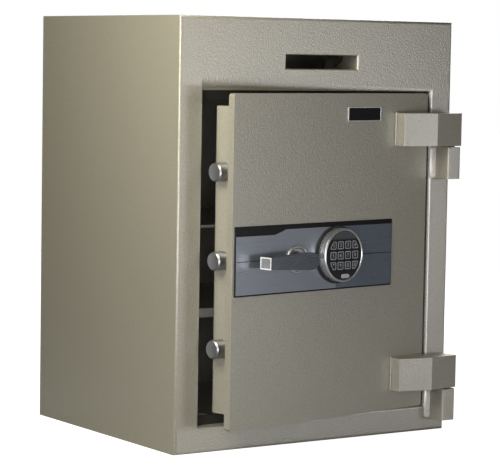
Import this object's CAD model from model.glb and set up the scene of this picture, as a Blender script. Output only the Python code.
import math

import bmesh
import bpy
from mathutils import Matrix, Vector


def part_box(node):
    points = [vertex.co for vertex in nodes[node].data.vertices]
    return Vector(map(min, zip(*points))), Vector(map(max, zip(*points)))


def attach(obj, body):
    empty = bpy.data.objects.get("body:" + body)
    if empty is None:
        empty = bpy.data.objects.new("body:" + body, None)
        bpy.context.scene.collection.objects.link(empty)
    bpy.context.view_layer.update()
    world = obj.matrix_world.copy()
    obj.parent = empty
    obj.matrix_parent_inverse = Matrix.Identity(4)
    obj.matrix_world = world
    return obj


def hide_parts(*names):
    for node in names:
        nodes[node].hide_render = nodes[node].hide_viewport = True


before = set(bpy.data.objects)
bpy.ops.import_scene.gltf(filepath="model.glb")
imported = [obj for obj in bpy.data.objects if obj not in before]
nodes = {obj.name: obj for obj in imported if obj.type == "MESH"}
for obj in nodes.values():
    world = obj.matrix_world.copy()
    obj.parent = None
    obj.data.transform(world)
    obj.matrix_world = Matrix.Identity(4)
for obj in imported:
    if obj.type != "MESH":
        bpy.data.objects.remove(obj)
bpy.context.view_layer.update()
scene = bpy.context.scene
scene.view_settings.view_transform = "Standard"


def put_in_scene(name, data):
    """A new object in the scene."""
    thing = bpy.data.objects.new(name, data)
    scene.collection.objects.link(thing)
    return thing


# --- Camera -------------------------------------------------------------------------------
# A long lens at the photograph's place: left of the safe and just below its top. Place, turn and
# lens come from a fit of the corners of the body, the doorway and the door.
eye = Vector((-2.000674, -3.025544, 0.611579))
yaw, pitch, roll = 0.587712, 0.082044, 0.016929
focal_pixels, photo_width, sensor_width = 2190.572, 500, 36
ahead = Vector((math.sin(yaw) * math.cos(pitch), math.cos(yaw) * math.cos(pitch), -math.sin(pitch)))
level = Vector((math.cos(yaw), -math.sin(yaw), 0))
above = level.cross(ahead)
right = math.cos(roll) * level + math.sin(roll) * above
up = math.cos(roll) * above - math.sin(roll) * level
camera = put_in_scene("camera", bpy.data.cameras.new("camera"))
camera.data.sensor_width = sensor_width
camera.data.lens = focal_pixels / photo_width * sensor_width
camera.matrix_world = Matrix.Translation(eye) @ Matrix((right, up, -ahead)).transposed().to_4x4()
scene.camera = camera


# --- Welded body --------------------------------------------------------------------------
# The skin is bent from 3 mm sheet with a 6 mm front plate, and everything outside is sprayed in
# one beige-grey hammertone enamel: small flat cells with a fine speckle, semi-gloss.
def node_group(name, inputs, outputs):
    """An empty shader group with its named sockets, and the two nodes that stand for them."""
    group = bpy.data.node_groups.new(name, "ShaderNodeTree")
    for label, kind, value in inputs:
        socket = group.interface.new_socket(label, in_out="INPUT", socket_type=kind)
        if value is not None:
            socket.default_value = value
    for label, kind in outputs:
        group.interface.new_socket(label, in_out="OUTPUT", socket_type=kind)
    return group, group.nodes.new("NodeGroupInput"), group.nodes.new("NodeGroupOutput")


def add(tree, kind, settings=(), **sockets):
    """A node with its settings; each socket takes a value or another node's output."""
    node = tree.nodes.new(kind)
    for key, value in dict(settings).items():
        setattr(node, key, value)
    for label, value in sockets.items():
        key = int(label[1:]) if label[0] == "i" and label[1:].isdigit() else label.replace("_", " ")
        if isinstance(value, bpy.types.NodeSocket):
            tree.links.new(value, node.inputs[key])
        else:
            node.inputs[key].default_value = value
    return node


def colour_ramp(tree, fac, low, high, start=0.0, end=1.0):
    """A colour between low and high where fac goes from start to end."""
    ramp = add(tree, "ShaderNodeValToRGB", Fac=fac)
    ramp.color_ramp.elements[0].position, ramp.color_ramp.elements[0].color = start, low
    ramp.color_ramp.elements[1].position, ramp.color_ramp.elements[1].color = end, high
    return ramp.outputs["Color"]


# Every finish group puts out the same three things.
finish_outputs = [("Color", "NodeSocketColor"), ("Roughness", "NodeSocketFloat"),
                  ("Normal", "NodeSocketVector")]
cell_blend, drift_scale, drift_share, mean_tone = 0.7, 5.0, 0.06, 0.97
grain_height, relief_depth, gloss_spread = 0.5, 0.0006, 0.25


def enamel_group():
    """Sprayed enamel: cells, speckle and a slow drift of tone, from object coordinates."""
    group, given, result = node_group("sprayed enamel", [
        ("Colour", "NodeSocketColor", (0.4, 0.4, 0.4, 1)),
        ("Cells per metre", "NodeSocketFloat", 330.0),
        ("Grains per metre", "NodeSocketFloat", 450.0),
        ("Speckle", "NodeSocketFloat", 0.12),
        ("Relief", "NodeSocketFloat", 0.35),
        ("Roughness", "NodeSocketFloat", 0.4),
    ], finish_outputs)
    place = add(group, "ShaderNodeTexCoord").outputs["Object"]
    cells = add(group, "ShaderNodeTexVoronoi", {"feature": "SMOOTH_F1"},
                Vector=place, Scale=given.outputs["Cells per metre"], Smoothness=cell_blend)
    grain = add(group, "ShaderNodeTexNoise", Vector=place, Scale=given.outputs["Grains per metre"],
                Detail=2.0)
    drift = add(group, "ShaderNodeTexNoise", Vector=place, Scale=drift_scale, Detail=1.0)
    spread = add(group, "ShaderNodeMath", {"operation": "SUBTRACT"},
                 i0=grain.outputs["Fac"], i1=0.5)
    fleck = add(group, "ShaderNodeMath", {"operation": "MULTIPLY"},
                i0=spread.outputs[0], i1=given.outputs["Speckle"])
    slow = add(group, "ShaderNodeMath", {"operation": "MULTIPLY_ADD"},
               i0=drift.outputs["Fac"], i1=drift_share, i2=fleck.outputs[0])
    tone = add(group, "ShaderNodeMath", {"operation": "ADD"}, i0=slow.outputs[0], i1=mean_tone)
    shade = add(group, "ShaderNodeVectorMath", {"operation": "SCALE"},
                i0=given.outputs["Colour"], Scale=tone.outputs[0])
    height = add(group, "ShaderNodeMath", {"operation": "MULTIPLY_ADD"},
                 i0=grain.outputs["Fac"], i1=grain_height, i2=cells.outputs["Distance"])
    bump = add(group, "ShaderNodeBump", Strength=given.outputs["Relief"], Distance=relief_depth,
               Height=height.outputs[0])
    gloss = add(group, "ShaderNodeMath", {"operation": "MULTIPLY_ADD"},
                i0=spread.outputs[0], i1=gloss_spread, i2=given.outputs["Roughness"])
    group.links.new(shade.outputs[0], result.inputs["Color"])
    group.links.new(gloss.outputs[0], result.inputs["Roughness"])
    group.links.new(bump.outputs[0], result.inputs["Normal"])
    return group


def new_material(name):
    """A new material and its node tree."""
    material = bpy.data.materials.new(name)
    material.use_nodes = True
    return material, material.node_tree


def join_finish(tree, finish):
    """Joins a finish group's colour, roughness and relief to the material's own shader."""
    shader = tree.nodes["Principled BSDF"]
    for label in ("Color", "Roughness", "Normal"):
        socket = "Base Color" if label == "Color" else label
        tree.links.new(finish.outputs[label], shader.inputs[socket])
    return shader


def enamel(name, colour, cells, grains, speckle, relief, roughness, gloss, index=1.5):
    """Sprayed enamel in one colour, with its cells and grains per metre.

    Speckle varies its tone and relief its surface; gloss and the index set its highlights."""
    material, tree = new_material(name)
    coat = add(tree, "ShaderNodeGroup", {"node_tree": sprayed}, Colour=(*colour, 1),
               Cells_per_metre=cells, Grains_per_metre=grains, Speckle=speckle, Relief=relief,
               Roughness=roughness)
    shader = join_finish(tree, coat)
    shader.inputs["Specular IOR Level"].default_value = gloss
    shader.inputs["IOR"].default_value = index
    return material


sprayed = enamel_group()
body_enamel = enamel("body enamel", (0.27, 0.249, 0.202), cells=480, grains=540, speckle=1.1,
                     relief=0.44, roughness=0.36, gloss=1.0, index=1.9)
thin_enamel = enamel("thin enamel", (0.8, 0.78, 0.72), cells=480, grains=540, speckle=0.3,
                     relief=0.1, roughness=0.3, gloss=1.0, index=1.9)

# Corners closer than this are one, faces this flat are merged, and edges this sharp are rounded.
same_spot, flat_angle, sharp_angle = 1e-5, math.radians(0.4), math.radians(32)
sheet_edge = [(None, 0.0006, 2)]


def mesh_from(name, bm):
    """The plain mesh that a bmesh holds, which is freed."""
    mesh = bpy.data.meshes.new(name)
    bm.to_mesh(mesh)
    bm.free()
    return mesh


def smooth_over(mesh, degrees):
    """Faces look round where they meet flatter than the given angle, and sharp elsewhere."""
    mesh.polygons.foreach_set("use_smooth", [True] * len(mesh.polygons))
    mesh.set_sharp_from_angle(angle=math.radians(degrees))


def rounded(name, material, body, edges=sheet_edge, shape=None, smooth=38):
    """A copy of a CAD node with its sharp edges rounded, which replaces the node.

    Each rule of edges is (test, width, segments); the test takes an edge, and None means all.
    shape may change the mesh at the end. Faces that meet flatter than smooth degrees look round."""
    bm = bmesh.new()
    bm.from_mesh(nodes[name].data)
    bmesh.ops.remove_doubles(bm, verts=bm.verts, dist=same_spot)
    bmesh.ops.dissolve_limit(bm, angle_limit=flat_angle, verts=bm.verts, edges=bm.edges)
    for test, width, segments in edges:
        sharp = [e for e in bm.edges if len(e.link_faces) == 2
                 and e.calc_face_angle(0) > sharp_angle and (test is None or test(e))]
        if sharp:
            bmesh.ops.bevel(bm, geom=sharp, offset=width, segments=segments, affect="EDGES",
                            profile=0.5, clamp_overlap=test is None)
    if shape:
        shape(bm)
    mesh = mesh_from(name + "_finished", bm)
    smooth_over(mesh, smooth)
    piece = put_in_scene(name + "_finished", mesh)
    flats = piece.modifiers.new("flats", "WEIGHTED_NORMAL")
    flats.keep_sharp, flats.weight = True, 90
    graph = bpy.context.evaluated_depsgraph_get()
    piece.data = bpy.data.meshes.new_from_object(piece.evaluated_get(graph))
    piece.modifiers.clear()
    piece.data.materials.clear()
    piece.data.materials.append(material)
    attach(piece, body)
    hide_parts(name)
    return piece


front_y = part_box("outer_shell")[0].y
doorway_x, doorway_low, doorway_top = 0.219, 0.0415, 0.557
slot_zone_x, slot_zone_low, slot_zone_top = 0.1, 0.577, 0.64
slot_end, slot_middle, slot_end_wide, slot_end_tall = 0.070, 0.602, 0.0024, 0.0125
roll_deep, roll_wide, slot_roll = 0.004, 0.026, 0.002
# The play allowed where an edge or a face is looked for, and how far left a face must turn.
near, hair, turned_left = 0.001, 0.0002, -0.12


def on_plate(edge, low, top, side):
    """Whether an edge lies on the front plate's face, within a rectangle."""
    return all(abs(v.co.y - front_y) < hair / 2 and abs(v.co.x) < side and low < v.co.z < top
               for v in edge.verts)


def at_doorway(edge):
    """Edges round the doorway, on the front plate's face."""
    return on_plate(edge, doorway_low - near, doorway_top + near, doorway_x + near)


def at_slot(edge):
    """Edges round the deposit slot, on the front plate's face."""
    return on_plate(edge, slot_zone_low, slot_zone_top, slot_zone_x)


def roll_doorway(bm):
    """Widens the rounding over the doorway towards its free side, where the header rolls softly."""
    reach = roll_deep + hair
    for v in bm.verts:
        over = v.co.z - doorway_top
        if v.co.y < front_y + reach and 0 < over < reach and abs(v.co.x) < doorway_x + reach:
            share = min(max((doorway_x - v.co.x) / (2 * doorway_x), 0), 1)
            v.co.z = doorway_top + over * (1 + share * (roll_wide / roll_deep - 1))


shell = rounded("outer_shell", body_enamel, "safe_body",
                [(at_doorway, roll_deep, 8), (at_slot, slot_roll, 4)], shape=roll_doorway)
# On the rounded edges at the doorway's hinge side and the slot's end the enamel is thin and light.
shell.data.materials.append(thin_enamel)
for face in shell.data.polygons:
    at_hinges = abs(face.center.x - doorway_x - roll_deep / 2) < roll_deep / 2 + hair
    at_slot_end = (abs(face.center.x - slot_end) < slot_end_wide
                   and abs(face.center.z - slot_middle) < slot_end_tall)
    if face.center.y < front_y + roll_deep and face.normal.x < turned_left \
            and (at_slot_end or at_hinges and doorway_low < face.center.z < doorway_top):
        face.material_index = 1
for name in ("rear_panel", "door_frame"):
    rounded(name, body_enamel, "safe_body")


# --- Inside of the body -------------------------------------------------------------------
# A sheet liner with loose shelves on angle rails, a sloping chute behind the slot with a toothed
# baffle over it, and a pocket for the bolts, all sprayed in a satin enamel. The thin flange that
# the door shuts against is sprayed nearly black.
satin = {"cells": 420, "grains": 500, "speckle": 0.15, "relief": 0.25}
inner_enamel = enamel("inner enamel", (0.55, 0.53, 0.48), **satin, roughness=0.45, gloss=0.5)
stop_enamel = enamel("stop enamel", (0.02, 0.018, 0.015), **satin, roughness=0.5, gloss=0.4)
throat_enamel = enamel("throat enamel", (0.16, 0.15, 0.125), **satin, roughness=0.5, gloss=0.4)
fine_edge = [(None, 0.0004, 2)]
for name, paint in (("inner_liner", inner_enamel), ("bolt_pocket", inner_enamel),
                    ("upper_shelf", inner_enamel), ("lower_shelf", inner_enamel),
                    ("shelf_rails", inner_enamel), ("door_stop", stop_enamel),
                    ("slot_sleeve", throat_enamel), ("deposit_chute", throat_enamel),
                    ("chute_baffle", throat_enamel)):
    rounded(name, paint, "safe_body", fine_edge)

# The filling between skin and liner is cast cement, seen only through the anchor holes.
cement = enamel("cement fill", (0.42, 0.41, 0.38), cells=180, grains=300, speckle=0.5, relief=0.8,
                roughness=0.85, gloss=0.3)
nodes["barrier_fill"].data.materials.clear()
nodes["barrier_fill"].data.materials.append(cement)


# --- Hinges -------------------------------------------------------------------------------
# Two square lugs are welded on the body's front and carry a steel pin each; the door's tapered
# blocks turn on the pins, over bronze washers. A bead of weld under the enamel runs round each
# foot but for the lugs' tops, and the wide weld on a lug's left is ground down.
cloud_scale, cloud_share, scratch_depth = 30.0, 0.5, 0.0002
streaks_from, streaks_to = 0.5, 1.0


def node_streaks():
    """Streaks stretched along one axis, which vary a metal's colour, gloss and relief a little."""
    group, given, result = node_group("metal streaks", [
        ("Vector", "NodeSocketVector", None),
        ("Stretch", "NodeSocketVector", (20.0, 900.0, 900.0)),
        ("Light", "NodeSocketColor", (0.6, 0.6, 0.6, 1)),
        ("Dark", "NodeSocketColor", (0.4, 0.4, 0.4, 1)),
        ("Smooth", "NodeSocketFloat", 0.2),
        ("Rough", "NodeSocketFloat", 0.4),
        ("Relief", "NodeSocketFloat", 0.05),
    ], finish_outputs)
    along = add(group, "ShaderNodeVectorMath", {"operation": "MULTIPLY"},
                i0=given.outputs["Vector"], i1=given.outputs["Stretch"])
    lines = add(group, "ShaderNodeTexNoise", Vector=along.outputs[0], Scale=1.0, Detail=3.0)
    cloud = add(group, "ShaderNodeTexNoise", Vector=given.outputs["Vector"], Scale=cloud_scale,
                Detail=2.0)
    both = add(group, "ShaderNodeMath", {"operation": "MULTIPLY_ADD"},
               i0=cloud.outputs["Fac"], i1=cloud_share, i2=lines.outputs["Fac"])
    share = add(group, "ShaderNodeMapRange", Value=both.outputs[0], From_Min=streaks_from,
                From_Max=streaks_to)
    tint = add(group, "ShaderNodeMix", {"data_type": "RGBA"}, i0=share.outputs[0])
    group.links.new(given.outputs["Dark"], tint.inputs[6])
    group.links.new(given.outputs["Light"], tint.inputs[7])
    gloss = add(group, "ShaderNodeMapRange", Value=both.outputs[0], From_Min=streaks_from,
                From_Max=streaks_to, To_Min=given.outputs["Rough"], To_Max=given.outputs["Smooth"])
    bump = add(group, "ShaderNodeBump", Strength=given.outputs["Relief"], Distance=scratch_depth,
               Height=lines.outputs["Fac"])
    group.links.new(tint.outputs[2], result.inputs["Color"])
    group.links.new(gloss.outputs[0], result.inputs["Roughness"])
    group.links.new(bump.outputs[0], result.inputs["Normal"])
    return group


streaks = node_streaks()
hinge_line = Vector((0.2408, -0.2363, 0))
ajar = math.radians(9.1)
free_edge_to_hinge, pin_forward = 0.4528, 0.0193
hang = (Matrix.Translation(hinge_line) @ Matrix.Rotation(ajar, 4, "Z")
        @ Matrix.Translation((-free_edge_to_hinge, pin_forward, 0)))


def door_place(tree, centre=(0, 0, 0)):
    """Coordinates of the door: x from its free edge, y behind its face, z up, from centre."""
    place = add(tree, "ShaderNodeTexCoord").outputs["Object"]
    return add(tree, "ShaderNodeMapping", Vector=place, Rotation=(0, 0, -ajar),
               Location=hang.inverted().translation - Vector(centre)).outputs[0]


def metal(name, light, dark, smooth, rough, stretch, relief=0.05, metallic=1.0, where=None):
    """A metal whose streaks run between two tones, and between a smooth and a rough finish.

    Stretch is how fine they are along each axis. where builds the coordinates, or they are the
    object's own."""
    material, tree = new_material(name)
    place = where(tree) if where else add(tree, "ShaderNodeTexCoord").outputs["Object"]
    finish = add(tree, "ShaderNodeGroup", {"node_tree": streaks}, Vector=place, Stretch=stretch,
                 Light=(*light, 1), Dark=(*dark, 1), Smooth=smooth, Rough=rough, Relief=relief)
    join_finish(tree, finish).inputs["Metallic"].default_value = metallic
    return material


def geometry_tree(name, inputs):
    """An empty geometry tree with named inputs, and the two nodes that stand for them."""
    tree = bpy.data.node_groups.new(name, "GeometryNodeTree")
    tree.is_modifier = True
    tree.interface.new_socket("Geometry", in_out="INPUT", socket_type="NodeSocketGeometry")
    for label, kind in inputs:
        tree.interface.new_socket(label, in_out="INPUT", socket_type=kind)
    tree.interface.new_socket("Geometry", in_out="OUTPUT", socket_type="NodeSocketGeometry")
    return tree, tree.nodes.new("NodeGroupInput"), tree.nodes.new("NodeGroupOutput")


grown_spot = 1e-6


def grow(name, points, edges, tree, sizes, place=None, radii=None):
    """The plain mesh that a geometry tree makes from a few points and the lines between them."""
    start = bpy.data.meshes.new(name)
    start.from_pydata(points, edges, [])
    if radii:
        start.attributes.new("turned_radius", "FLOAT", "POINT").data.foreach_set("value", radii)
    seed = put_in_scene(name + "_seed", start)
    maker = seed.modifiers.new("maker", "NODES")
    maker.node_group = tree
    for item in tree.interface.items_tree:
        if item.in_out == "INPUT" and item.name in sizes:
            maker[item.identifier] = sizes[item.name]
    graph = bpy.context.evaluated_depsgraph_get()
    mesh = bpy.data.meshes.new_from_object(seed.evaluated_get(graph))
    bpy.data.objects.remove(seed)
    bm = bmesh.new()
    bm.from_mesh(mesh)
    bmesh.ops.remove_doubles(bm, verts=bm.verts, dist=grown_spot)
    bmesh.ops.recalc_face_normals(bm, faces=bm.faces)
    bm.to_mesh(mesh)
    bm.free()
    if place:
        mesh.transform(place)
    return mesh


def finish_piece(name, mesh, body, smooth=38):
    """An object for a mesh that already has its materials; it rides on a body."""
    smooth_over(mesh, smooth)
    piece = put_in_scene(name, mesh)
    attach(piece, body)
    return piece


def end_tree(tree, given, result, geometry):
    """Ends a tree: its instances are made real and take the given material."""
    real = add(tree, "GeometryNodeRealizeInstances", Geometry=geometry)
    coated = add(tree, "GeometryNodeSetMaterial", Geometry=real.outputs[0],
                 Material=given.outputs["Material"])
    tree.links.new(coated.outputs[0], result.inputs[0])


ripple_scale, turn_steps, bead_sides = 160.0, 6, 12


def weld_tree():
    """A bead along the given line: rounded turns, slightly uneven thickness, closed ends."""
    tree, given, result = geometry_tree("weld bead", [
        ("Bead radius", "NodeSocketFloat"), ("Turn radius", "NodeSocketFloat"),
        ("Step", "NodeSocketFloat"), ("Unevenness", "NodeSocketFloat"), ("Seed", "NodeSocketFloat"),
        ("Material", "NodeSocketMaterial")])
    line = add(tree, "GeometryNodeMeshToCurve", Mesh=given.outputs["Geometry"])
    turned = add(tree, "GeometryNodeFilletCurve", {"mode": "POLY"}, Curve=line.outputs[0],
                 Count=turn_steps, Radius=given.outputs["Turn radius"])
    stepped = add(tree, "GeometryNodeResampleCurve", {"mode": "LENGTH"}, Curve=turned.outputs[0],
                  Length=given.outputs["Step"])
    uneven = add(tree, "ShaderNodeTexNoise", {"noise_dimensions": "4D"}, W=given.outputs["Seed"],
                 Scale=ripple_scale)
    swing = add(tree, "ShaderNodeMath", {"operation": "SUBTRACT"}, i0=uneven.outputs["Fac"], i1=0.5)
    share = add(tree, "ShaderNodeMath", {"operation": "MULTIPLY_ADD"}, i0=swing.outputs[0],
                i1=given.outputs["Unevenness"], i2=1.0)
    radius = add(tree, "ShaderNodeMath", {"operation": "MULTIPLY"}, i0=share.outputs[0],
                 i1=given.outputs["Bead radius"])
    ring = add(tree, "GeometryNodeCurvePrimitiveCircle", Resolution=bead_sides, Radius=1.0)
    bead = add(tree, "GeometryNodeCurveToMesh", Curve=stepped.outputs[0], Scale=radius.outputs[0],
               Fill_Caps=True)
    tree.links.new(ring.outputs[0], bead.inputs["Profile Curve"])
    end_tree(tree, given, result, bead.outputs[0])
    return tree


weld = weld_tree()
bead_sizes = {"Turn radius": 0.002, "Step": 0.0012, "Unevenness": 0.4, "Material": body_enamel}


def weld_round(name, corners, radius, seed, place, body):
    """A weld bead of the given radius along the corners of a foot."""
    lines = [(i, i + 1) for i in range(len(corners) - 1)]
    sizes = {**bead_sizes, "Bead radius": radius, "Seed": seed}
    finish_piece(name, grow(name, corners, lines, weld, sizes, place), body)


def ground_weld(name, low, high):
    """The wide weld between the doorway and a lug's side, ground to a slope with worn-down ends."""
    wide, tall, crown, sunk, into_lug = 0.0085, 0.005, 0.0004, 0.003, 0.001
    run, steps, ends = 0.004, 6, (0.45, 0.85, 1)
    heights = [low.z, low.z + run / 2, low.z + run, high.z - run, high.z - run / 2, high.z]
    rings = []
    bm = bmesh.new()
    for z, size in zip(heights, ends + ends[::-1]):
        ring = [bm.verts.new((low.x + into_lug, front_y + sunk, z)),
                bm.verts.new((low.x + into_lug, front_y - tall * size, z))]
        for k in range(steps + 1):
            share = k / steps
            bulge = crown * size * math.sin(math.pi * share)
            ring.append(bm.verts.new((low.x - share * wide * size - bulge,
                                      front_y - (1 - share) * tall * size - bulge, z)))
        ring.append(bm.verts.new((low.x - wide * size, front_y + sunk, z)))
        rings.append(ring)
    for one, two in zip(rings, rings[1:]):
        for k in range(len(one)):
            j = (k + 1) % len(one)
            bm.faces.new((one[k], one[j], two[j], two[k]))
    for ring in (rings[0], rings[-1]):
        bm.faces.new(ring)
    bmesh.ops.recalc_face_normals(bm, faces=bm.faces)
    mesh = mesh_from(name, bm)
    mesh.materials.append(thin_enamel)
    finish_piece(name, mesh, "safe_body", smooth=50)


turned_along_z = (60, 60, 1200)
pin_steel = metal("pin steel", (0.5, 0.5, 0.5), (0.32, 0.32, 0.33), smooth=0.3, rough=0.45,
                  stretch=turned_along_z)
bronze = metal("bronze washer", (0.26, 0.2, 0.11), (0.16, 0.12, 0.07), smooth=0.4, rough=0.6,
               stretch=turned_along_z)
lug_bead, block_bead, lug_seed, block_seed, bead_stop = 0.0026, 0.0022, 1.5, 3.5, 0.006
lug_edge, block_edge, washer_edge = [(None, 0.0015, 3)], [(None, 0.0012, 3)], [(None, 0.0002, 2)]
for name in ("hinge_lug_lower", "hinge_lug_upper"):
    rounded(name, body_enamel, "safe_body", lug_edge)
    low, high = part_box(name)
    below_block = high.z - bead_stop
    foot = [(low.x, front_y, below_block), (low.x, front_y, low.z), (high.x, front_y, low.z),
            (high.x, front_y, below_block)]
    weld_round(name.replace("hinge", "weld"), foot, lug_bead, lug_seed + low.z, None, "safe_body")
    ground_weld(name.replace("hinge_lug", "ground_weld"), low, high)
rounded("hinge_pins", pin_steel, "safe_body")
rounded("thrust_washers", bronze, "safe_body", washer_edge)
block_left, door_right = 0.3513, 0.422
for name in ("hinge_block_lower", "hinge_block_upper"):
    rounded(name, body_enamel, "door", block_edge, smooth=14)
    low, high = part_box(name)
    foot = [(door_right, 0, low.z), (block_left, 0, low.z), (block_left, 0, high.z),
            (door_right, 0, high.z)]
    weld_round(name.replace("hinge", "weld"), foot, block_bead, block_seed + low.z, hang, "door")


# --- Door ---------------------------------------------------------------------------------
# A 12 mm plate with rounded corners carries a folded pan for the boltwork. The pan's back is a
# screwed zinc-plated cover, and a fixed bar stands out on the hinge side.
door_edge, folded_edge = [(None, 0.0016, 4)], [(None, 0.001, 3)]
rounded("door_plate", body_enamel, "door", door_edge)
rounded("door_pan", body_enamel, "door", folded_edge)
zinc = metal("zinc plate", (0.62, 0.61, 0.58), (0.42, 0.42, 0.42), smooth=0.3, rough=0.5,
             stretch=(60, 60, 300))
for name in ("rear_cover", "dead_bar", "hard_plate", "bolt_sleeves", "carriage_studs"):
    rounded(name, zinc, "door", fine_edge)


def screw_tree():
    """Pan-head screws with a cross recess, one on each given point, heads towards +Z."""
    tree, given, result = geometry_tree("pan-head screws", [
        ("Head radius", "NodeSocketFloat"), ("Head height", "NodeSocketFloat"),
        ("Shank radius", "NodeSocketFloat"), ("Shank length", "NodeSocketFloat"),
        ("Recess", "NodeSocketFloat"), ("Material", "NodeSocketMaterial")])
    crown_share, cut_share, lift_share, head_sides, shank_sides = 0.72, 0.24, 1.3, 32, 20

    def part_of(label, share):
        return add(tree, "ShaderNodeMath", {"operation": "MULTIPLY"},
                   i0=given.outputs[label], i1=share).outputs[0]

    def moved_up(geometry, distance):
        way = add(tree, "ShaderNodeCombineXYZ", Z=distance).outputs[0]
        return add(tree, "GeometryNodeTransform", Geometry=geometry, Translation=way)

    head = add(tree, "GeometryNodeMeshCone", Vertices=head_sides, Side_Segments=1,
               Radius_Bottom=given.outputs["Head radius"], Depth=given.outputs["Head height"],
               Radius_Top=part_of("Head radius", crown_share))
    wide, thin = given.outputs["Recess"], part_of("Recess", cut_share)
    cross = add(tree, "GeometryNodeMeshBoolean", {"operation": "UNION"})
    for across, along in ((wide, thin), (thin, wide)):
        size = add(tree, "ShaderNodeCombineXYZ", X=across, Y=along, Z=given.outputs["Head height"])
        bar = add(tree, "GeometryNodeMeshCube", Size=size.outputs[0])
        tree.links.new(bar.outputs[0], cross.inputs["Mesh 2"])
    raised = moved_up(cross.outputs[0], part_of("Head height", lift_share))
    cut = add(tree, "GeometryNodeMeshBoolean", {"operation": "DIFFERENCE"})
    tree.links.new(head.outputs[0], cut.inputs["Mesh 1"])
    tree.links.new(raised.outputs[0], cut.inputs["Mesh 2"])
    shank = add(tree, "GeometryNodeMeshCylinder", Vertices=shank_sides,
                Radius=given.outputs["Shank radius"], Depth=given.outputs["Shank length"])
    lowered = moved_up(shank.outputs[0], part_of("Shank length", -0.5))
    screw = add(tree, "GeometryNodeJoinGeometry")
    tree.links.new(cut.outputs[0], screw.inputs[0])
    tree.links.new(lowered.outputs[0], screw.inputs[0])
    spread = add(tree, "GeometryNodeInstanceOnPoints", Points=given.outputs["Geometry"])
    tree.links.new(screw.outputs[0], spread.inputs["Instance"])
    end_tree(tree, given, result, spread.outputs[0])
    return tree


# In the tree's space the door's x stays x, up becomes y, and the way back into the safe is z.
from_back = hang @ Matrix(((1, 0, 0, 0), (0, 0, 1, 0), (0, 1, 0, 0), (0, 0, 0, 1)))
cover_back, lock_back, door_middle = 0.0615, 0.0475, 0.299
cover_sides, side_reach, cover_centre, end_reach = (0.0285, 0.3955), 0.2025, 0.212, 0.2265
lock_sides, lock_heights = (0.19, 0.247), (0.2945, 0.3705)
cover_shank, lock_shank = 0.008, 0.033
cover_screws = [(x, door_middle + k * side_reach, cover_back) for x in cover_sides
                for k in (-1, -1 / 3, 1 / 3, 1)]
cover_screws += [(cover_centre, door_middle + k * end_reach, cover_back) for k in (-1, 1)]
lock_screws = [(x, z, lock_back) for x in lock_sides for z in lock_heights]
screw_maker = screw_tree()
screw_sizes = {"Head radius": 0.0045, "Head height": 0.0025, "Shank radius": 0.0024,
               "Recess": 0.0046, "Material": pin_steel}
screws = bmesh.new()
for places, shank in ((cover_screws, cover_shank), (lock_screws, lock_shank)):
    screws.from_mesh(grow("screws", places, [], screw_maker,
                          {**screw_sizes, "Shank length": shank}, from_back))
screw_mesh = mesh_from("cross_screws", screws)
screw_mesh.materials.append(pin_steel)
screw_piece = finish_piece("cross_screws", screw_mesh, "door", smooth=20)
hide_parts("pan_screws")


# --- Boltwork -----------------------------------------------------------------------------
# Three turned and plated bolts with chamfered ends sit in a carriage of zinc-plated steel, which
# the crank disc on the lever's spindle pushes out.
def turned_tree():
    """Equal turned parts in a row along Y; the given line and its points' radii are the profile."""
    tree, given, result = geometry_tree("turned parts", [
        ("Count", "NodeSocketInt"), ("Pitch", "NodeSocketFloat"), ("Sides", "NodeSocketInt"),
        ("Material", "NodeSocketMaterial")])
    axis = add(tree, "GeometryNodeMeshToCurve", Mesh=given.outputs["Geometry"])
    radius = add(tree, "GeometryNodeInputNamedAttribute", {"data_type": "FLOAT"},
                 Name="turned_radius")
    ring = add(tree, "GeometryNodeCurvePrimitiveCircle", Resolution=given.outputs["Sides"],
               Radius=1.0)
    part = add(tree, "GeometryNodeCurveToMesh", Curve=axis.outputs[0], Scale=radius.outputs[0],
               Fill_Caps=True)
    tree.links.new(ring.outputs[0], part.inputs["Profile Curve"])
    step = add(tree, "ShaderNodeCombineXYZ", Y=given.outputs["Pitch"])
    row = add(tree, "GeometryNodeMeshLine", Count=given.outputs["Count"], Offset=step.outputs[0])
    spread = add(tree, "GeometryNodeInstanceOnPoints", Points=row.outputs[0])
    tree.links.new(part.outputs[0], spread.inputs["Instance"])
    end_tree(tree, given, result, spread.outputs[0])
    return tree


bolt_radius, bolt_chamfer, bolt_length, tail_radius, bolt_end = 0.0145, 0.002, 0.062, 0.006, 0.074
bolt_axis, bolt_pitch, bolt_count, bolt_sides, shoulder = 0.0427, 0.135, 3, 64, 0.0001
profile = [(0, bolt_radius - bolt_chamfer), (bolt_chamfer, bolt_radius), (bolt_length, bolt_radius),
           (bolt_length + shoulder, tail_radius), (bolt_end, tail_radius)]
bolt_steel = metal("plated bolt steel", (0.34, 0.34, 0.36), (0.26, 0.26, 0.28), smooth=0.28,
                   rough=0.4, stretch=(60, 1500, 1500), where=door_place)
# The row's own Y runs up the door, and its first bolt is the lowest.
upright = Matrix(((1, 0, 0, 0), (0, 0, -1, 0), (0, 1, 0, 0), (0, 0, 0, 1)))
row_place = hang @ Matrix.Translation((0, bolt_axis, door_middle - bolt_pitch)) @ upright
bolt_sizes = {"Count": bolt_count, "Pitch": bolt_pitch, "Sides": bolt_sides,
              "Material": bolt_steel}
bolts = grow("turned_bolts", [(x, 0, 0) for x, _ in profile],
             [(i, i + 1) for i in range(len(profile) - 1)], turned_tree(), bolt_sizes,
             row_place, [r for _, r in profile])
bolt_piece = finish_piece("turned_bolts", bolts, "boltwork", smooth=25)
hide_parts("locking_bolts")
rounded("bolt_carriage", zinc, "boltwork", fine_edge)
small_edge = [(None, 0.0003, 2)]
for name in ("handle_spindle", "drive_disc", "spindle_clip"):
    rounded(name, zinc, "handle", small_edge)
rounded("lock_bolt", bronze, "lock_bolt", fine_edge)


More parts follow.
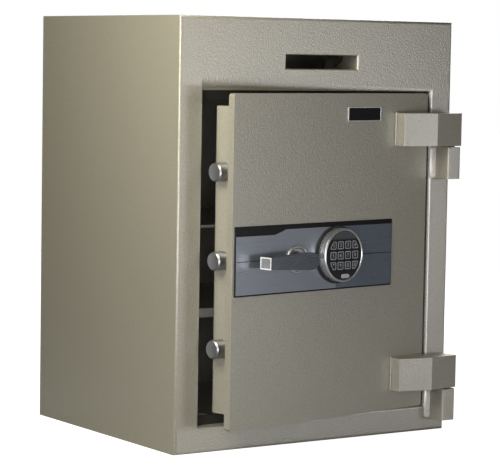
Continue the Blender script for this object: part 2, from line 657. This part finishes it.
# --- Escutcheon ---------------------------------------------------------------------------
# A black enamelled backing with a brushed blue-grey face on it, brushed darker on the right. The
# face leaves a black band bare on top, and its engraved lines are filled with black.
def moulded(name, colour, roughness, relief=0.1, coat=0.0, gloss=0.5):
    """Moulded plastic or smooth enamel with a fine grain; a function may build its colour."""
    material, tree = new_material(name)
    finish = add(tree, "ShaderNodeGroup", {"node_tree": sprayed},
                 Colour=colour(tree) if callable(colour) else (*colour, 1), Cells_per_metre=1500,
                 Grains_per_metre=1800, Speckle=0.3, Relief=relief, Roughness=roughness)
    shader = join_finish(tree, finish)
    shader.inputs["Coat Weight"].default_value = coat
    shader.inputs["Specular IOR Level"].default_value = gloss
    return material


# How far a face turns to a side before it counts as squarely or partly on that side.
squarely, partly, underneath = -0.9, -0.2, -0.3


def door_side(face):
    """A face's middle and its direction, in the door's own coordinates."""
    back = hang.inverted()
    return back @ face.center, back.to_3x3() @ face.normal


black_enamel = moulded("black enamel", (0.008, 0.008, 0.009), roughness=0.3, relief=0.03,
                       gloss=0.35)
rounded("escutcheon_backing", black_enamel, "door", small_edge)
engraved_x, engraved_z, line_half = 0.2195, 0.2495, 0.001
plate_left, plate_right, plate_front, plate_back = 0.0085, 0.3405, -0.003, -0.0015
brushed_left = (0.355, 0.38, 0.435), (0.29, 0.31, 0.36)
brushed_right = (0.215, 0.25, 0.31), (0.175, 0.2, 0.25)


def brushed_light(tree, left, right):
    """One colour left of the engraved upright line, and another right of it."""
    across = add(tree, "ShaderNodeSeparateXYZ", Vector=door_place(tree)).outputs["X"]
    past = add(tree, "ShaderNodeMath", {"operation": "GREATER_THAN"}, i0=across, i1=engraved_x)
    mix = add(tree, "ShaderNodeMix", {"data_type": "RGBA"}, i0=past.outputs[0])
    mix.inputs[6].default_value = (*left, 1)
    mix.inputs[7].default_value = (*right, 1)
    return mix.outputs[2]


brushed_face = metal("brushed face", *brushed_left, smooth=0.26, rough=0.4,
                     stretch=(10, 900, 3200), relief=0.02, metallic=0.75, where=door_place)
brushed_node = next(n for n in brushed_face.node_tree.nodes if n.type == "GROUP")
for socket, left, right in zip(("Light", "Dark"), brushed_left, brushed_right):
    brushed_face.node_tree.links.new(brushed_light(brushed_face.node_tree, left, right),
                                     brushed_node.inputs[socket])
cut_edge = [(None, 0.00015, 1)]
plate = rounded("escutcheon_plate", brushed_face, "door", cut_edge)
plate.data.materials.append(black_enamel)
for face in plate.data.polygons:
    middle, _ = door_side(face)
    in_groove = plate_front + hair < middle.y < plate_back - hair
    if in_groove and plate_left < middle.x < plate_right \
            and abs(middle.z - engraved_z) > line_half:
        face.material_index = 1


# --- Badge --------------------------------------------------------------------------------
# A small die-cast plate with a polished border round a black field, left bare.
polished = metal("polished border", (0.85, 0.85, 0.86), (0.72, 0.72, 0.74), smooth=0.25,
                 rough=0.35, stretch=(60, 60, 60), relief=0.01, metallic=0.6)
badge = rounded("badge_plate", polished, "door", small_edge)
badge.data.materials.append(black_enamel)
field_front, field_back = -0.0013, -0.0005
for face in badge.data.polygons:
    middle, direction = door_side(face)
    if field_front < middle.y < field_back and direction.y < squarely:
        face.material_index = 1


# --- Lever --------------------------------------------------------------------------------
# A satin-chromed casting: a tapered bar whose tip turns back to the plate and ends in a bright
# frame round a grey recess; its neck turns in a stepped rosette.
lever_chrome = metal("lever chrome", (0.31, 0.335, 0.38), (0.23, 0.25, 0.285), smooth=0.22,
                     rough=0.3, stretch=(40, 500, 700), relief=0.02, where=door_place)
frame_chrome = metal("tip frame chrome", (0.85, 0.85, 0.86), (0.75, 0.75, 0.77), smooth=0.3,
                     rough=0.4, stretch=(500, 500, 500), relief=0.02, metallic=0.25)
recess_grey = metal("tip recess", (0.3, 0.3, 0.31), (0.18, 0.18, 0.19), smooth=0.35, rough=0.5,
                    stretch=(300, 300, 300), relief=0.02, metallic=0.5)
cast_edge, turned_edge = [(None, 0.0012, 4)], [(None, 0.0005, 3)]
lever = rounded("handle_lever", lever_chrome, "handle", cast_edge)
lever.data.materials.append(frame_chrome)
lever.data.materials.append(recess_grey)
frame_depth, recess_depth = 0.0442, 0.0447
for face in lever.data.polygons:
    middle, direction = door_side(face)
    on_frame = middle.x < frame_depth and direction.x < partly
    in_recess = middle.x < recess_depth and direction.x < squarely
    on_lower_edge = direction.y < partly and direction.z < underneath
    if in_recess and not on_frame:
        face.material_index = 2
    elif on_frame or on_lower_edge:
        face.material_index = 1
rosette_chrome = metal("rosette chrome", (0.6, 0.6, 0.62), (0.5, 0.5, 0.52), smooth=0.33,
                       rough=0.4, stretch=(300, 300, 300), relief=0.01, metallic=0.85)
rounded("handle_rosette", rosette_chrome, "door", turned_edge)


# --- Keypad -------------------------------------------------------------------------------
# A turned metal housing on a black seal, with a charcoal face whose key field is darker, twelve
# sprung keys with printed frames and figures, and a silver pill window.
keypad_centre = (0.2185, 0, 0.3025)


def round_the_keypad(tree):
    """Turn, depth and radius about the keypad's axis, so that streaks run round it."""
    local = door_place(tree, keypad_centre)
    split = add(tree, "ShaderNodeSeparateXYZ", Vector=local)
    square = add(tree, "ShaderNodeVectorMath", {"operation": "MULTIPLY"}, i0=local, i1=(1, 0, 1))
    radius = add(tree, "ShaderNodeVectorMath", {"operation": "LENGTH"}, i0=square.outputs[0])
    turn = add(tree, "ShaderNodeMath", {"operation": "ARCTAN2"},
               i0=split.outputs["Z"], i1=split.outputs["X"])
    return add(tree, "ShaderNodeCombineXYZ", X=turn.outputs[0], Y=split.outputs["Y"],
               Z=radius.outputs["Value"]).outputs[0]


def key_field(tree):
    """Charcoal that turns nearly black below the key field's straight top edge."""
    field_top, blur = 0.0255, 0.0002
    up = add(tree, "ShaderNodeSeparateXYZ", Vector=door_place(tree, keypad_centre)).outputs["Z"]
    return colour_ramp(tree, up, (0.009, 0.009, 0.011, 1), (0.065, 0.067, 0.075, 1),
                       field_top - blur, field_top + blur)


turned_ring = metal("turned ring", (0.76, 0.76, 0.78), (0.66, 0.66, 0.68), smooth=0.26, rough=0.3,
                    stretch=(1.5, 900, 900), relief=0.004, metallic=0.9, where=round_the_keypad)
face_plastic = moulded("keypad face plastic", key_field, roughness=0.32, relief=0.05)
key_plastic = moulded("key plastic", (0.012, 0.012, 0.014), roughness=0.45, relief=0.08)
printed = moulded("printed grey", (0.34, 0.35, 0.39), roughness=0.5, relief=0.05)
seal_black = moulded("seal rubber", (0.012, 0.012, 0.013), roughness=0.6)
silver_plastic = moulded("silver plastic", (0.42, 0.42, 0.45), roughness=0.3, relief=0.03, coat=0.3)
board_green = moulded("circuit board", (0.03, 0.12, 0.05), roughness=0.4)
crisp_edge, key_edge = [(None, 0.0001, 1)], [(None, 0.0004, 3)]
rounded("keypad_base", seal_black, "door", fine_edge)
rounded("keypad_housing", turned_ring, "door", small_edge, smooth=25)
rounded("keypad_face", face_plastic, "door", crisp_edge)
rounded("led_window", silver_plastic, "door", small_edge)
rounded("keypad_board", board_green, "door", crisp_edge)

key_top, key_pitch, frame_inset, frame_line = -0.0206, 0.016, 0.0004, 0.0011
trim_radius, key_half, key_corner = 0.0328, 0.0065, 0.0018
print_height, figure_size, figure_pull = 0.0001, 0.0085, 0.0008
figures, keys_across = "1234" "5678" "*90#", 4


def key_outline(column, row, shrink, steps=96, halvings=24):
    """The key's outline, shrunk: a rounded square about its middle, trimmed to the round face."""
    middle = Vector((column * key_pitch, row * key_pitch))
    half, bend = key_half - shrink, key_corner - shrink * 0.5
    limit = trim_radius - shrink
    outline = []
    for i in range(steps):
        way = Vector((math.cos(2 * math.pi * i / steps), math.sin(2 * math.pi * i / steps)))
        low, high = 0.0, 2 * half
        for _ in range(halvings):
            reach = (low + high) / 2
            spot = way * reach
            past = Vector((max(abs(spot.x) - half + bend, 0), max(abs(spot.y) - half + bend, 0)))
            inside = past.length <= bend and (middle + spot).length <= limit
            low, high = (reach, high) if inside else (low, reach)
        outline.append(middle + way * low)
    return outline


def key_print(index):
    """The printed frame and figure of one key, just proud of its top, as one mesh."""
    column, row = index % keys_across - (keys_across - 1) / 2, 1 - index // keys_across
    bm = bmesh.new()
    outer = [bm.verts.new((p.x, p.y, 0)) for p in key_outline(column, row, frame_inset)]
    inner = [bm.verts.new((p.x, p.y, 0))
             for p in key_outline(column, row, frame_inset + frame_line)]
    for i in range(len(outer)):
        k = (i + 1) % len(outer)
        bm.faces.new((outer[i], outer[k], inner[k], inner[i]))
    raised = bmesh.ops.extrude_face_region(bm, geom=bm.faces[:])["geom"]
    bmesh.ops.translate(bm, verts=[g for g in raised if isinstance(g, bmesh.types.BMVert)],
                        vec=(0, 0, print_height))
    words = bpy.data.curves.new("figure", "FONT")
    words.body, words.size, words.extrude = figures[index], figure_size, print_height / 2
    words.align_x, words.align_y = "CENTER", "CENTER"
    sign = put_in_scene("figure", words)
    graph = bpy.context.evaluated_depsgraph_get()
    flat = bpy.data.meshes.new_from_object(sign.evaluated_get(graph))
    bpy.data.objects.remove(sign)
    # The four corner keys are trimmed on one side, so their figures sit closer to the middle.
    pull = figure_pull if abs(column) > 1 and row else 0
    flat.transform(Matrix.Translation((column * key_pitch - math.copysign(pull, column),
                                       row * (key_pitch - pull), print_height / 2)))
    bm.from_mesh(flat)
    bmesh.ops.recalc_face_normals(bm, faces=bm.faces)
    mesh = mesh_from(f"key_print_{index + 1:02d}", bm)
    middle = Matrix.Translation((keypad_centre[0], key_top, keypad_centre[2]))
    mesh.transform(hang @ middle @ upright)
    mesh.materials.append(printed)
    return mesh


for i in range(len(figures)):
    key = f"key_{i + 1:02d}"
    rounded(key, key_plastic, key, key_edge)
    finish_piece(f"print_{key}", key_print(i), key, smooth=20)


# --- Lock inside the door -----------------------------------------------------------------
# A die-cast case with its cover, fed by a lead from the keypad and by a battery in an open box.
die_cast = metal("die cast", (0.6, 0.6, 0.58), (0.48, 0.48, 0.47), smooth=0.4, rough=0.55,
                 stretch=(120, 120, 120), relief=0.1)
battery_can = moulded("battery can", (0.08, 0.08, 0.09), roughness=0.35, relief=0.05, coat=0.2)
box_plastic = moulded("box plastic", (0.03, 0.03, 0.032), roughness=0.5)
for name, material, slot in (("lock_case", die_cast, "lock_zinc"),
                             ("lock_cover", die_cast, "lock_zinc"),
                             ("lock_cable", seal_black, "seal_rubber"),
                             ("battery_box", box_plastic, "keypad_plastic"),
                             ("battery", battery_can, "battery_can")):
    rounded(name, material, "door", fine_edge)


# --- Studio -------------------------------------------------------------------------------
# A white floor and sky. Six soft boxes: a warm one close by on the left, a low one before the
# left corner, one by the camera, two out on the right, which the front plate and door mirror, and
# one behind on the right, which lights the back, the right side and the top.
floor_mesh = bpy.data.meshes.new("floor")
floor_reach = 12
floor_mesh.from_pydata([(x * floor_reach, y * floor_reach, 0)
                        for x, y in ((-1, -1), (1, -1), (1, 1), (-1, 1))], [], [(0, 1, 2, 3)])
floor = put_in_scene("floor", floor_mesh)
floor_paint, floor_tree = new_material("floor paint")
floor_shader = floor_tree.nodes["Principled BSDF"]
floor_shader.inputs["Base Color"].default_value = (0.32, 0.32, 0.32, 1)
floor_shader.inputs["Roughness"].default_value = 0.9
floor_shader.inputs["Emission Color"].default_value = (1, 1, 1, 1)
floor_mesh.materials.append(floor_paint)

world = bpy.data.worlds.new("studio")
scene.world = world
world.use_nodes = True
world.node_tree.nodes["Background"].inputs["Color"].default_value = (1, 1, 1, 1)


def glow(tree, socket, unseen):
    """Full strength where the camera looks, and the unseen strength for all other rays."""
    ray = add(tree, "ShaderNodeLightPath").outputs["Is Camera Ray"]
    strength = add(tree, "ShaderNodeMapRange", Value=ray, To_Min=unseen, To_Max=1.0)
    tree.links.new(strength.outputs[0], socket)


sky_light = 0.02
glow(floor_tree, floor_shader.inputs["Emission Strength"], 0.0)
glow(world.node_tree, world.node_tree.nodes["Background"].inputs["Strength"], sky_light)
aim = Vector((-0.1, -0.1, 0.38))


def soft_box(name, place, width, height, watts, colour=(1, 1, 1)):
    """A rectangular light at place that faces the safe."""
    lamp = bpy.data.lights.new(name, "AREA")
    lamp.shape, lamp.size, lamp.size_y, lamp.energy = "RECTANGLE", width, height, watts
    lamp.color = colour
    box = put_in_scene(name, lamp)
    box.location = place
    box.rotation_euler = (aim - Vector(place)).to_track_quat("-Z", "Y").to_euler()


# Each soft box: its place, its two sides, its power and its colour.
soft_box("left", (-0.83, -0.45, 0.9), 0.6, 0.6, 11.2, (1, 0.98, 0.82))
soft_box("front left", (-0.95, -1.1, 0.22), 1.0, 0.5, 7.6)
soft_box("camera", (-1.5, -2.6, 0.6), 0.9, 0.9, 3.2)
soft_box("right", (1.4, -2.75, 0.4), 1.0, 1.2, 5.2)
soft_box("low right", (1.35, -2.76, 0.1), 0.8, 0.4, 9.4)
soft_box("behind", (1.5, 1.3, 1.5), 1.4, 1.4, 34.0)
